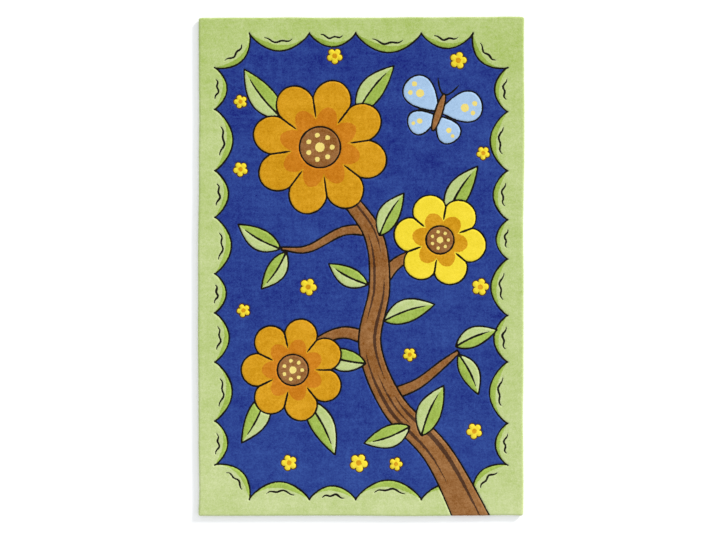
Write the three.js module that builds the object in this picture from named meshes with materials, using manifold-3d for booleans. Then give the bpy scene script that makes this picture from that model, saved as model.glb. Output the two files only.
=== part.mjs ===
// Nursery rug: one hand-tufted cut-pile cloth that lies flat, in millimetres, with +Z up.
// The origin is on the underside, at the middle of the rug. +Y runs along the rug to its top end, and +X to
// the right as seen from above. The pile is carved with V-shaped grooves along the lines of its design:
// a scalloped border, a branch with leaves, large and small blossoms, and a butterfly.
import * as THREE from "three";
import { mergeVertices } from "three/addons/utils/BufferGeometryUtils.js";
import Module from "manifold-3d";

const wasm = await Module();
wasm.setup();

// Driving sizes.
const WIDTH = 1105;
const LENGTH = 1695;
const THICKNESS = 14;
const RIM_HEIGHT = 9; // how far down from the top the rounding of the pile's outer edge reaches
const RIM_WIDTH = 6; // and how far in
const RIM_RUNS = 3; // facets of that rounding
const CORNER = 8; // radius of the rug's corners, which are cut nearly square
const CORNER_RUNS = 4;
const EDGE_STEP = 30; // length of one straight run of the rug's edge
const GROOVE_WIDTH = 9;
const GROOVE_DEPTH = 3.5;
const GROOVE_STEP = 30; // length of one straight run of a groove
const SLIVER = 0.05; // edges that stray from the surface by less than this are taken out

// The four corners as measured, clockwise from the top left one.
const CORNERS = [
  { x: -552.0, y: 845.5 },
  { x: 554.3, y: 849.0 },
  { x: 550.7, y: -846.7 },
  { x: -553.0, y: -847.9 },
];
// How far each side stands out from the straight line between its corners. A side runs clockwise, and
// along is the fraction of its length.
const UNEVENNESS = [
  { along: 0.05, top: 0.0, right: -1.0, bottom: -1.5, left: -2.8 },
  { along: 0.13, top: 0.5, right: 0.2, bottom: -0.2, left: -0.5 },
  { along: 0.2, top: -0.1, right: 1.5, bottom: 0.1, left: -0.2 },
  { along: 0.28, top: 1.1, right: 1.4, bottom: 0.9, left: 0.8 },
  { along: 0.35, top: -0.4, right: -0.2, bottom: 1.6, left: 2.0 },
  { along: 0.43, top: -0.4, right: -2.0, bottom: 0.6, left: 1.5 },
  { along: 0.5, top: -0.9, right: -0.2, bottom: -0.3, left: 1.7 },
  { along: 0.57, top: -1.0, right: 0.0, bottom: -0.6, left: 1.4 },
  { along: 0.65, top: 0.3, right: 0.3, bottom: -0.7, left: -0.7 },
  { along: 0.73, top: -0.6, right: 0.1, bottom: -0.5, left: -0.5 },
  { along: 0.8, top: 0.4, right: -1.5, bottom: -0.3, left: -1.9 },
  { along: 0.87, top: -0.1, right: -0.1, bottom: -0.1, left: -0.6 },
  { along: 0.95, top: 1.1, right: 1.2, bottom: 0.0, left: -0.1 },
];
const SIDES = ["top", "right", "bottom", "left"];
const ROUND = 0.5523; // handles of a Bezier curve that makes a quarter circle

// The border: its inner edge is a ring of lobes that bulge into the field.
const FIELD_INSET = 54;
const FIELD_CORNER = 118; // from the field's corner to the first cusp on each side
const LOBE_RISE = 0.3; // of a lobe's width
const LOBE_POWER = 0.75; // under 1, so that lobes meet in sharp cusps
const SHORT_SIDE_LOBES = [1.1, 0.85, 1.2, 0.95]; // relative widths
const LONG_SIDE_LOBES = [0.9, 1.2, 1.0, 0.8, 1.15, 0.95, 1.25, 0.85];

// The branch, from its foot off the bottom end to its tip, and the twigs that fork from it.
const BRANCH = [
  { x: 425, y: -960, width: 128 },
  { x: 268, y: -650, width: 96 },
  { x: 108, y: -470, width: 84 },
  { x: 30, y: -270, width: 76 },
  { x: 62, y: -70, width: 70 },
  { x: 40, y: 110, width: 62 },
  { x: -70, y: 270, width: 50 },
  { x: -130, y: 420, width: 40 },
];
const TWIGS = [
  [
    { x: 36, y: -250, width: 46 },
    { x: -60, y: -225, width: 38 },
    { x: -150, y: -260, width: 32 },
    { x: -240, y: -330, width: 26 },
  ],
  [
    { x: 62, y: -60, width: 46 },
    { x: 120, y: 10, width: 38 },
    { x: 200, y: 50, width: 32 },
    { x: 270, y: 90, width: 26 },
  ],
  [
    { x: 90, y: -440, width: 40 },
    { x: 190, y: -400, width: 34 },
    { x: 280, y: -330, width: 26 },
    { x: 330, y: -290, width: 12 },
  ],
  [
    { x: 40, y: 120, width: 36 },
    { x: -60, y: 120, width: 30 },
    { x: -180, y: 60, width: 24 },
    { x: -270, y: 60, width: 10 },
  ],
];

// The leaves: where each stem end is, its length and width, and where its tip points, in degrees from +X.
const LEAVES = [
  { x: 205, y: -575, length: 185, width: 82, turn: 66 },
  { x: 165, y: -545, length: 165, width: 74, turn: 200 },
  { x: 15, y: -330, length: 175, width: 76, turn: 165 },
  { x: 78, y: -185, length: 180, width: 78, turn: 18 },
  { x: 22, y: -62, length: 150, width: 66, turn: 152 },
  { x: 322, y: -272, length: 150, width: 66, turn: 22 },
  { x: 332, y: -300, length: 150, width: 64, turn: -64 },
  { x: -275, y: 60, length: 165, width: 72, turn: 150 },
  { x: -255, y: 48, length: 150, width: 66, turn: 236 },
  { x: 62, y: 105, length: 165, width: 72, turn: 60 },
  { x: 290, y: 170, length: 200, width: 78, turn: 58 },
  { x: -265, y: 500, length: 215, width: 86, turn: 128 },
  { x: -15, y: 520, length: 205, width: 80, turn: 52 },
  { x: -320, y: -430, length: 190, width: 76, turn: 243 },
  { x: -190, y: -450, length: 215, width: 80, turn: -62 },
];
const LEAF_BOW = 0.05; // how far the midrib bows to one side, of the length
const LEAF_LEAN = 0.85; // under 1, so that a leaf is widest nearer its stem end
const LEAF_FULLNESS = 0.9; // under 1, so that its sides are round and its tip is sharp
const RIB_REACH = 0.82; // how much of a leaf its carved midrib runs along

// The blossoms: middle, radius, number of petals and the turn of the first notch, in degrees.
const BLOSSOMS = [
  { x: -140, y: 405, radius: 232, petals: 8, turn: 8 },
  { x: 268, y: 90, radius: 158, petals: 6, turn: 20 },
  { x: -232, y: -352, radius: 176, petals: 7, turn: 0 },
];
const PETAL = { notch: 0.3, power: 0.62 }; // depth of the notches, of the radius, and their sharpness
const HEART = 0.3; // radius of a blossom's middle, of its own
const NOTCH_LINE = { from: 0.7, to: 0.44 }; // the line from each notch towards the middle
const LITTLE_BLOSSOMS = [
  { x: -400, y: -150, radius: 24, turn: 5 },
  { x: -180, y: -70, radius: 30, turn: 30 },
  { x: -410, y: 560, radius: 24, turn: 0 },
  { x: -90, y: 715, radius: 28, turn: 20 },
  { x: 330, y: 700, radius: 30, turn: 40 },
  { x: 415, y: 385, radius: 24, turn: 15 },
  { x: 405, y: -70, radius: 30, turn: 40 },
  { x: 165, y: -300, radius: 24, turn: 20 },
  { x: 385, y: -560, radius: 28, turn: 10 },
  { x: 118, y: -672, radius: 24, turn: 35 },
  { x: -8, y: -668, radius: 32, turn: 25 },
  { x: -245, y: -668, radius: 28, turn: 0 },
  { x: -410, y: 330, radius: 26, turn: 12 },
];
const LITTLE_PETALS = 5;
const LITTLE_PETAL = { notch: 0.34, power: 0.6 };

// The butterfly: its place and tilt, and one side's wings, given in its own upright frame.
const BUTTERFLY = { x: 262, y: 520, tilt: -18 };
const BODY = { up: 4, length: 132, width: 26 };
const WINGS = [
  { up: -8, length: 105, width: 88, turn: 128 },
  { up: 6, length: 150, width: 112, turn: 62 },
];
const WING_FULLNESS = 0.625; // half of a wing's width, with what its taper takes away made good
const WING_TAPER = 0.55; // how fast it widens from its point

// A curve in the plane of the rug, drawn by a formula of t from 0 to 1 that gives [x, y].
class Drawn extends THREE.Curve {
  constructor(formula) {
    super();
    this.formula = formula;
  }
  getPoint(t, target = new THREE.Vector3()) {
    const [x, y] = this.formula(t);
    return target.set(x, y, THICKNESS);
  }
}

// A geometry as a solid for cutting and joining.
function solid(geometry) {
  const plain = geometry.clone();
  plain.deleteAttribute("normal");
  plain.deleteAttribute("uv");
  const merged = mergeVertices(plain, 1e-4);
  return new wasm.Manifold(
    new wasm.Mesh({
      numProp: 3,
      vertProperties: merged.attributes.position.array,
      triVerts: new Uint32Array(merged.index.array),
    }),
  );
}

function geometryOf(manifold) {
  const mesh = manifold.getMesh();
  const geometry = new THREE.BufferGeometry();
  geometry.setAttribute("position", new THREE.BufferAttribute(mesh.vertProperties, mesh.numProp));
  geometry.setIndex(new THREE.BufferAttribute(mesh.triVerts, 1));
  const facets = geometry.toNonIndexed();
  facets.computeVertexNormals();
  return facets;
}

function runs(curve) {
  return Math.max(3, Math.round(curve.getLength() / GROOVE_STEP));
}

// The V-shaped body that a groove along one curve takes out of the pile. Its section stands on its point,
// and its first coordinate runs down.
function grooveCutter(curve) {
  const section = new THREE.Shape([
    new THREE.Vector2(GROOVE_DEPTH, 0),
    new THREE.Vector2(0, GROOVE_WIDTH / 2),
    new THREE.Vector2(0, -GROOVE_WIDTH / 2),
  ]);
  return solid(new THREE.ExtrudeGeometry(section, { steps: runs(curve), extrudePath: curve }));
}

// A column through the pile under one closed outline, made of curves that follow one another.
function column(curves) {
  const points = curves.flatMap((curve) => curve.getSpacedPoints(runs(curve)).slice(0, -1));
  const shape = new THREE.Shape(points.map((p) => new THREE.Vector2(p.x, p.y)));
  return solid(new THREE.ExtrudeGeometry(shape, { depth: 2 * THICKNESS, bevelEnabled: false }));
}

// The grooves so far. An area covers what was drawn before it, and then gets its own outline.
let grooves = null;
function carveArea(curves) {
  const cutters = wasm.Manifold.union(curves.map(grooveCutter));
  grooves = grooves ? grooves.subtract(column(curves)).add(cutters) : cutters;
}
function carveLine(curve) {
  grooves = grooves.add(grooveCutter(curve));
}

// The rug's uneven outline, with small round corners, about its own middle.
function rugOutline() {
  const points = [];
  SIDES.forEach((name, k) => {
    const from = new THREE.Vector2(CORNERS[k].x, CORNERS[k].y);
    const next = CORNERS[(k + 1) % 4];
    const along = new THREE.Vector2(next.x, next.y).sub(from);
    const length = along.length();
    const unit = along.clone().normalize();
    const outward = new THREE.Vector2(-unit.y, unit.x);
    const at = (distance, out) => from.clone().addScaledVector(unit, distance).addScaledVector(outward, out);
    const side = new THREE.SplineCurve([
      at(CORNER, 0),
      ...UNEVENNESS.map((row) => at(row.along * length, row[name])),
      at(length - CORNER, 0),
    ]);
    points.push(...side.getSpacedPoints(Math.round(length / EDGE_STEP)));
    const corner = at(length, 0);
    const after = CORNERS[(k + 2) % 4];
    const start = at(length - CORNER, 0);
    const end = new THREE.Vector2(after.x, after.y).sub(corner).setLength(CORNER).add(corner);
    const bend = new THREE.CubicBezierCurve(
      start,
      start.clone().lerp(corner, ROUND),
      end.clone().lerp(corner, ROUND),
      end,
    );
    points.push(...bend.getPoints(CORNER_RUNS).slice(1, -1));
  });
  const middle = new THREE.Box2().setFromPoints(points).getCenter(new THREE.Vector2());
  return points.map((p) => p.sub(middle));
}

// The slab: flat underneath, straight at the foot of its edge, and rounded over to the top of the pile.
function slab() {
  const body = new THREE.ExtrudeGeometry(new THREE.Shape(rugOutline()), {
    depth: 2 * THICKNESS,
    bevelThickness: RIM_HEIGHT,
    bevelSize: RIM_WIDTH,
    bevelOffset: -RIM_WIDTH,
    bevelSegments: RIM_RUNS,
  });
  body.translate(0, 0, -THICKNESS - RIM_HEIGHT);
  const room = new THREE.BoxGeometry(2 * WIDTH, 2 * LENGTH, 4 * THICKNESS);
  room.translate(0, 0, 2 * THICKNESS);
  return solid(body).intersect(solid(room));
}

// The cusps of the border's inner edge, clockwise from the top left.
function cuspRing() {
  const x = WIDTH / 2 - FIELD_INSET;
  const y = LENGTH / 2 - FIELD_INSET;
  const corners = [
    [-x, y],
    [x, y],
    [x, -y],
    [-x, -y],
  ].map(([cx, cy]) => new THREE.Vector2(cx, cy));
  const lobes = [SHORT_SIDE_LOBES, LONG_SIDE_LOBES, SHORT_SIDE_LOBES.toReversed(), LONG_SIDE_LOBES];
  return lobes.flatMap((widths, k) => {
    const from = corners[k];
    const to = corners[(k + 1) % 4];
    const first = FIELD_CORNER / from.distanceTo(to);
    const all = widths.reduce((sum, width) => sum + width, 0);
    let run = 0;
    return [0, ...widths].map((width) => {
      run += width;
      return from.clone().lerp(to, first + ((1 - 2 * first) * run) / all);
    });
  });
}

function lobe(a, b) {
  const along = b.clone().sub(a);
  const inward = new THREE.Vector2(along.y, -along.x);
  return new Drawn((t) => {
    const rise = LOBE_RISE * Math.sin(Math.PI * t) ** LOBE_POWER;
    return [a.x + along.x * t + inward.x * rise, a.y + along.y * t + inward.y * rise];
  });
}

// A branch or twig through its rows: both long sides, its blunt tip and its foot.
function limb(rows) {
  const middle = new THREE.CatmullRomCurve3(
    rows.map((row) => new THREE.Vector3(row.x, row.y, row.width)),
    false,
    "catmullrom",
  );
  const edge = (t, side) => {
    const { x, y, z: width } = middle.getPoint(t);
    const way = middle.getTangent(t).setZ(0).normalize();
    return [x - (side * way.y * width) / 2, y + (side * way.x * width) / 2];
  };
  const left = new Drawn((t) => edge(t, 1));
  const right = new Drawn((t) => edge(1 - t, -1));
  return [left, straight(edge(1, 1), edge(1, -1)), right, straight(edge(0, -1), edge(0, 1))];
}

function straight([x1, y1], [x2, y2]) {
  return new Drawn((t) => [x1 + (x2 - x1) * t, y1 + (y2 - y1) * t]);
}

// A frame that is moved to x, y and turned: gives the place of a point u along it and v across it.
function placed(x, y, degrees) {
  const turn = THREE.MathUtils.degToRad(degrees);
  return (u, v) => [
    x + u * Math.cos(turn) - v * Math.sin(turn),
    y + u * Math.sin(turn) + v * Math.cos(turn),
  ];
}

function leaf({ x, y, length, width, turn }) {
  const place = placed(x, y, turn);
  const bow = (t) => LEAF_BOW * length * Math.sin(Math.PI * t);
  const half = (t, side) =>
    place(
      t * length,
      bow(t) + (side * width * Math.sin(Math.PI * t ** LEAF_LEAN) ** LEAF_FULLNESS) / 2,
    );
  return {
    outline: [new Drawn((t) => half(t, 1)), new Drawn((t) => half(1 - t, -1))],
    rib: new Drawn((t) => place(t * RIB_REACH * length, bow(t * RIB_REACH))),
  };
}

// Petals round a middle, as one curve each from notch to notch.
function petals({ x, y, radius, turn }, count, { notch, power }) {
  return Array.from({ length: count }, (_, k) => {
    const place = placed(x, y, turn + (360 * k) / count);
    return new Drawn((t) => {
      const reach = radius * (1 - notch + notch * Math.sin(Math.PI * t) ** power);
      const angle = (2 * Math.PI * t) / count;
      return place(reach * Math.cos(angle), reach * Math.sin(angle));
    });
  });
}

// A closed ring in two halves, an ellipse with its middle at x, y.
function ring(x, y, across, along, degrees = 0) {
  const place = placed(x, y, degrees);
  return [0, 1].map(
    (k) =>
      new Drawn((t) => {
        const angle = Math.PI * (k + t);
        return place((across / 2) * Math.cos(angle), (along / 2) * Math.sin(angle));
      }),
  );
}

// A drop-shaped wing with its point at the body, in two halves.
function wing({ up, length, width, turn }, side) {
  const body = placed(BUTTERFLY.x, BUTTERFLY.y, BUTTERFLY.tilt);
  const own = placed(0, up, 90 - side * turn);
  return [0, 1].map(
    (k) =>
      new Drawn((t) => {
        const angle = Math.PI * (k + t);
        const out = (1 - Math.cos(angle)) / 2;
        const across = WING_FULLNESS * width * Math.sin(angle) * out ** WING_TAPER;
        return body(...own(length * out, across));
      }),
  );
}

// The design, in the order in which one area covers another.
const cusps = cuspRing();
carveArea(cusps.map((cusp, k) => lobe(cusp, cusps[(k + 1) % cusps.length])));
[...TWIGS, BRANCH].forEach((rows) => carveArea(limb(rows)));
LEAVES.map(leaf).forEach(({ outline, rib }) => {
  carveArea(outline);
  carveLine(rib);
});
BLOSSOMS.forEach((blossom) => {
  const { x, y, radius, turn } = blossom;
  carveArea(petals(blossom, blossom.petals, PETAL));
  for (let k = 0; k < blossom.petals; k += 1) {
    const place = placed(x, y, turn + (360 * k) / blossom.petals);
    carveLine(straight(place(radius * NOTCH_LINE.from, 0), place(radius * NOTCH_LINE.to, 0)));
  }
  carveArea(ring(x, y, 2 * radius * HEART, 2 * radius * HEART));
});
[1, -1].forEach((side) => WINGS.forEach((row) => carveArea(wing(row, side))));
const [bodyX, bodyY] = placed(BUTTERFLY.x, BUTTERFLY.y, BUTTERFLY.tilt)(0, BODY.up);
carveArea(ring(bodyX, bodyY, BODY.width, BODY.length, BUTTERFLY.tilt));
LITTLE_BLOSSOMS.forEach((blossom) => carveArea(petals(blossom, LITTLE_PETALS, LITTLE_PETAL)));

const yarn = new THREE.MeshStandardMaterial({ color: 0x2b418e, roughness: 0.95, metalness: 0 });
const rug = new THREE.Mesh(geometryOf(slab().subtract(grooves).simplify(SLIVER)), yarn);
rug.name = "tufted_rug";

const part = new THREE.Group();
part.add(rug);

export default part;
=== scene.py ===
import math

import bpy
import numpy as np
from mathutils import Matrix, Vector, geometry, kdtree


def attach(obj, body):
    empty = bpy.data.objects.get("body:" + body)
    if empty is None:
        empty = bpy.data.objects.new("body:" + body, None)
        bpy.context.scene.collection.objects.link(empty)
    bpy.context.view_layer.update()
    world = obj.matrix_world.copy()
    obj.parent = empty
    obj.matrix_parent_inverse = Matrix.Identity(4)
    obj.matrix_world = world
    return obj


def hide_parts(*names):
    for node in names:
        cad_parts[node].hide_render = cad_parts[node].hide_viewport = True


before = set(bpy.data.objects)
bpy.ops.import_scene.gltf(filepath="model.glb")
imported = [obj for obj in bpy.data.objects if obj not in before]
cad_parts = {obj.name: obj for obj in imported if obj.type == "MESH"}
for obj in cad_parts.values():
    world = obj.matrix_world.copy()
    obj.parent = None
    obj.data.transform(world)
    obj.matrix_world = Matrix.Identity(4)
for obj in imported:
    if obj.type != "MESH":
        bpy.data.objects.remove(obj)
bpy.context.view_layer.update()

# The backing. A plain-weave cotton cloth is glued over the back of the tufting and trimmed just
# inside the edge of the pile, so it shows from below and as a thin line under the rim. The rug was
# cut by hand, so its sides wander a little from the straight line between its corners.
MM = 0.001
RUG_WIDTH, RUG_LENGTH = 1105, 1695
CORNERS = [(-552.0, 845.5), (554.3, 849.0), (550.7, -846.7), (-553.0, -847.9)]  # clockwise, from top left
CORNER_RADIUS = 7
CORNER_STEP = 2  # between the points of a round corner
UNEVENNESS = [  # how far each side stands out, at a fraction of its length, clockwise
    {"along": 0.05, "top": 0.0, "right": -1.0, "bottom": -1.5, "left": -2.8},
    {"along": 0.13, "top": 0.5, "right": 0.2, "bottom": -0.2, "left": -0.5},
    {"along": 0.2, "top": -0.1, "right": 1.5, "bottom": 0.1, "left": -0.2},
    {"along": 0.28, "top": 1.1, "right": 1.4, "bottom": 0.9, "left": 0.8},
    {"along": 0.35, "top": -0.4, "right": -0.2, "bottom": 1.6, "left": 2.0},
    {"along": 0.43, "top": -0.4, "right": -2.0, "bottom": 0.6, "left": 1.5},
    {"along": 0.5, "top": -0.9, "right": -0.2, "bottom": -0.3, "left": 1.7},
    {"along": 0.57, "top": -1.0, "right": 0.0, "bottom": -0.6, "left": 1.4},
    {"along": 0.65, "top": 0.3, "right": 0.3, "bottom": -0.7, "left": -0.7},
    {"along": 0.73, "top": -0.6, "right": 0.1, "bottom": -0.5, "left": -0.5},
    {"along": 0.8, "top": 0.4, "right": -1.5, "bottom": -0.3, "left": -1.9},
    {"along": 0.87, "top": -0.1, "right": -0.1, "bottom": -0.1, "left": -0.6},
    {"along": 0.95, "top": 1.1, "right": 1.2, "bottom": 0.0, "left": -0.1},
]
TUFT = 3.2  # from one tuft to the next
CURVE_SAMPLES = 600  # at which a curve is worked out before its points are spaced evenly
BACKING_THICKNESS = 3.4
BACKING_INSET = 2.2
BACKING_ROUNDING = 0.8
BACKING_CREASE = math.radians(50)  # a sharper fold than this is an edge
TRIM = 4  # the cloth is trimmed through every fourth point of the outline
CLOTH_STEP = 20  # between points on the cloth
WELD = 1e-3  # points nearer than this are one
HULL, WITHIN = 0, 1  # which faces the triangulation keeps: all of them, or those within an outline
COTTON = "#d8cfb6"
CANVAS_PITCH = 0.9
CANVAS_DRAWN = 2 * CANVAS_PITCH  # the real weave is too fine to show
SLUB = 40  # the length of the yarn's thicker and thinner places
WAVES_IN_UNIT = 20 / (2 * math.pi)  # a wave texture of scale 1 turns 20 radians in a unit


def drawn(formula, step=TUFT):
    """Points on a curve at even steps, from a formula that gives x and y for t from 0 to 1."""
    x, y = formula(np.linspace(0, 1, CURVE_SAMPLES))
    run = np.r_[0, np.cumsum(np.hypot(np.diff(x), np.diff(y)))]
    along = np.linspace(0, run[-1], max(3, round(run[-1] / step)) + 1)
    return np.stack([np.interp(along, run, x), np.interp(along, run, y)], axis=1)


def through(rows, t):
    """The smooth curve through rows of values, which t from 0 to 1 passes at an even pace."""
    rows = np.array(rows, float)
    rows = np.vstack([2 * rows[0] - rows[1], rows, 2 * rows[-1] - rows[-2]])
    pace = t * (len(rows) - 3)
    k = np.minimum(pace.astype(int), len(rows) - 4)
    u = (pace - k)[:, None]
    a, b, c, d = rows[k], rows[k + 1], rows[k + 2], rows[k + 3]
    return (b + 0.5 * u * (c - a + u * (2 * a - 5 * b + 4 * c - d + u * (3 * (b - c) + d - a)))).T


def joined(*curves):
    """One closed outline from curves that follow one another."""
    return np.concatenate([curve[:-1] for curve in curves])


def rug_outline():
    """The edge of the rug, clockwise: each side as it was cut, and then its round corner."""
    curves = []
    for k, name in enumerate(("top", "right", "bottom", "left")):
        start, end, after = (np.array(CORNERS[(k + n) % 4]) for n in range(3))
        length = math.dist(start, end)
        unit = (end - start) / length
        outward = np.array([-unit[1], unit[0]])
        turned = (after - end) / math.dist(after, end)
        rows = [start + unit * CORNER_RADIUS]
        rows += [start + unit * row["along"] * length + outward * row[name] for row in UNEVENNESS]
        rows += [end - unit * CORNER_RADIUS]
        middle = end + (turned - unit) * CORNER_RADIUS

        def round_corner(t):
            angle = t * math.pi / 2
            way = np.outer(outward, np.cos(angle)) + np.outer(unit, np.sin(angle))
            return middle[:, None] + CORNER_RADIUS * way
        curves.append(drawn(lambda t: through(rows, t)))
        curves.append(drawn(round_corner, CORNER_STEP))
    outline = joined(*curves)
    return outline - (outline.min(axis=0) + outline.max(axis=0)) / 2


def outward_of(outline):
    """The outward direction at each point of a clockwise outline."""
    along = np.roll(outline, -1, axis=0) - np.roll(outline, 1, axis=0)
    along /= np.linalg.norm(along, axis=1)[:, None]
    return np.stack([-along[:, 1], along[:, 0]], axis=1)


def linear(hex_colour):
    """An sRGB hex colour as the linear colour that a shader takes."""
    parts = [int(hex_colour[k:k + 2], 16) / 255 for k in (1, 3, 5)]
    return [c / 12.92 if c <= 0.04045 else ((c + 0.055) / 1.055) ** 2.4 for c in parts] + [1]


def empty_material(name):
    """A material by its name, with no nodes yet, and the tree that takes them."""
    material = bpy.data.materials.new(name)
    material.use_nodes = True
    material.node_tree.nodes.clear()
    return material, material.node_tree


def add(tree, kind, inputs=None, **settings):
    """Adds a node with its settings; each input is a value or the output that feeds it."""
    node = tree.nodes.new(kind)
    for name, value in settings.items():
        setattr(node, name, value)
    for name, value in (inputs or {}).items():
        if isinstance(value, bpy.types.NodeSocket):
            tree.links.new(value, node.inputs[name])
        else:
            node.inputs[name].default_value = value
    return node


def woven_cotton():
    """Unbleached cotton canvas, woven one over and one under: matte and pale, with a fine even grid of yarns
    drawn as painted shade between them, and soft lighter and darker places where they are spun thicker or
    thinner."""
    material, tree = empty_material("woven cotton canvas")
    place = add(tree, "ShaderNodeTexCoord").outputs["Object"]
    wave_scale = 1 / WAVES_IN_UNIT / (CANVAS_DRAWN * MM)
    waves = []
    for axis in "XY":
        waves.append(add(tree, "ShaderNodeTexWave", {
            "Vector": place, "Scale": wave_scale, "Distortion": 0.6, "Detail": 1.0,
        }, bands_direction=axis).outputs["Fac"])
    weave = add(tree, "ShaderNodeMath", {0: waves[0], 1: waves[1]}, operation="MULTIPLY").outputs[0]
    slub = add(tree, "ShaderNodeTexNoise", {
        "Vector": place, "Scale": 1 / (SLUB * MM), "Detail": 4.0}).outputs["Fac"]
    # the grid of the weave is painted shade between the yarns; the slub is the yarn's own thicker and thinner
    # places
    tone = add(tree, "ShaderNodeMath", {0: weave, 1: 0.7, 2: slub}, operation="MULTIPLY_ADD").outputs[0]
    shade = add(tree, "ShaderNodeMapRange", {
        "Value": tone, "From Min": 0.3, "From Max": 1.3, "To Min": 0.82, "To Max": 1.1}).outputs[0]
    colour = add(tree, "ShaderNodeMix", {0: 1.0, 6: linear(COTTON), 7: shade}, data_type="RGBA",
                 blend_type="MULTIPLY").outputs[2]
    bump = add(tree, "ShaderNodeBump", {"Height": weave, "Strength": 0.5, "Distance": 0.4 * MM}).outputs[0]
    cloth = add(tree, "ShaderNodeBsdfPrincipled", {
        "Base Color": colour, "Roughness": 0.9, "Normal": bump, "Specular IOR Level": 0.2,
        "Sheen Weight": 0.15})
    add(tree, "ShaderNodeOutputMaterial", {"Surface": cloth.outputs[0]})
    return material


edge = rug_outline()
edge_out = outward_of(edge)
backing_edge = (edge - edge_out * BACKING_INSET)[::TRIM]
cloth_x = np.arange(-RUG_WIDTH / 2 + CLOTH_STEP, RUG_WIDTH / 2 - CLOTH_STEP / 2, CLOTH_STEP)
cloth_y = np.arange(-RUG_LENGTH / 2 + CLOTH_STEP, RUG_LENGTH / 2 - CLOTH_STEP / 2, CLOTH_STEP)
cloth_points = np.concatenate([backing_edge, np.stack(np.meshgrid(cloth_x, cloth_y), axis=-1).reshape(-1, 2)])
cloth = geometry.delaunay_2d_cdt(
    [Vector(p) for p in cloth_points], [], [range(len(backing_edge))], WITHIN, WELD)
backing_mesh = bpy.data.meshes.new("backing")
backing_mesh.from_pydata([(x * MM, y * MM, 0) for x, y in cloth[0]], [], cloth[2])
backing = bpy.data.objects.new("backing", backing_mesh)
bpy.context.collection.objects.link(backing)
bpy.ops.object.select_all(action="DESELECT")
backing.select_set(True)
bpy.context.view_layer.objects.active = backing
bpy.ops.object.mode_set(mode="EDIT")
bpy.ops.mesh.select_all(action="SELECT")
bpy.ops.mesh.extrude_region_move(TRANSFORM_OT_translate={"value": (0, 0, BACKING_THICKNESS * MM)})
bpy.ops.mesh.select_all(action="SELECT")
bpy.ops.mesh.normals_make_consistent(inside=False)
bpy.ops.mesh.select_all(action="DESELECT")
bpy.ops.object.mode_set(mode="OBJECT")
rounding = backing.modifiers.new("rounded edge", "BEVEL")
rounding.width = BACKING_ROUNDING * MM
rounding.segments = 2
bpy.ops.object.modifier_apply(modifier=rounding.name)
bpy.ops.object.shade_smooth_by_angle(angle=BACKING_CREASE)
backing.data.materials.append(woven_cotton())
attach(backing, "root")
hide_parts("tufted_rug")

# The pile. Acrylic yarn is shot through the cloth in tufts about 3 mm apart, cut level at 14 mm above
# the floor, and carved with shears in a valley along each line. Areas are tufted from the uppermost
# of the design to the ground, and each stops where one that is already tufted begins.
PILE_TOP = 14
TUFT_SHIFT = 0.16  # how far a tuft may be from its place, as a share of the distance between tufts
CROWDED = 0.5  # a tuft is left out where it is nearer than this share to a point of a line
RIM_WIDTH, RIM_HEIGHT = 6.2, 6.1  # the radii of its rounded section
RIM_TURN = math.radians(140)  # the outermost tufts lean out over the floor, and the lowest tuck in again
RIM_LENGTH = 15.0  # of the pile that bends over the edge, while it is laid out flat
RIM_ROWS = 6
EDGE_BAND = 20  # holds all of the rim, on both sides of the rug's box
VALLEY_WIDTH, VALLEY_DEPTH = 13, 3.4
STROKE_VALLEY = {"width": 0.7, "depth": 0.5}  # shares of those, because a stroke is carved less
LINE_WIDTH, STROKE_WIDTH, RUST_WIDTH = 6.2, 7.0, 3.6  # of an outline, a stroke and a rust outline
STROKE_TAPER = 0.55  # how much thinner a stroke is at an end that stands free
STROKE_END = 0.25  # the share of its length over which it thins out
TONE_RAGGED = 0.6  # how far the edge of a tone strays from tuft to tuft
CLIPPING = 0.1  # how unevenly the shears leave the tufts
RIM_RAGGED = 0.35  # how unevenly the tufts stand out round the edge
EVEN_BESIDE = 3  # the pile is even up to half this far from a line, and fully uneven this much further
SWELL = {"height": 0.2, "across": 130, "along": 170}  # the rug's slow waves, each 2 pi of these long

YARNS = {}  # each yarn's colour, that of the tufts that catch more light, and how strongly they differ
OUTLINE_YARN, RUST_YARN = "#100a04", "#4e2c14"
LUMINANCE = np.array([0.2126, 0.7152, 0.0722])
TUFT_END, FIBRE = 2.7, 0.9  # how wide a tuft's end and a tip of fibre in it show
STRAND = 0.15  # tufts stand upright, so at the edge of the rug they show as strands this much finer than long
TUFT_SWING, FIBRE_SWING = 0.55, 0.5  # how much lighter each makes the yarn, from darkest to lightest
MOTTLING = [  # size of each pattern across and down the rug, and the same swing for it
    {"size": (7, 6), "detail": 1.0, "swing": 0.95},
    {"size": (18, 16), "detail": 2.0, "swing": 0.75},
    {"size": (75, 65), "detail": 2.0, "swing": 0.95},
    {"size": (170, 12), "detail": 1.0, "swing": 0.4},
    {"size": (12, 150), "detail": 1.0, "swing": 0.35},
    {"size": (1000, 60), "detail": 1.0, "swing": 0.4},
    {"size": (220, 220), "detail": 2.0, "swing": 0.75},
]
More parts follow.
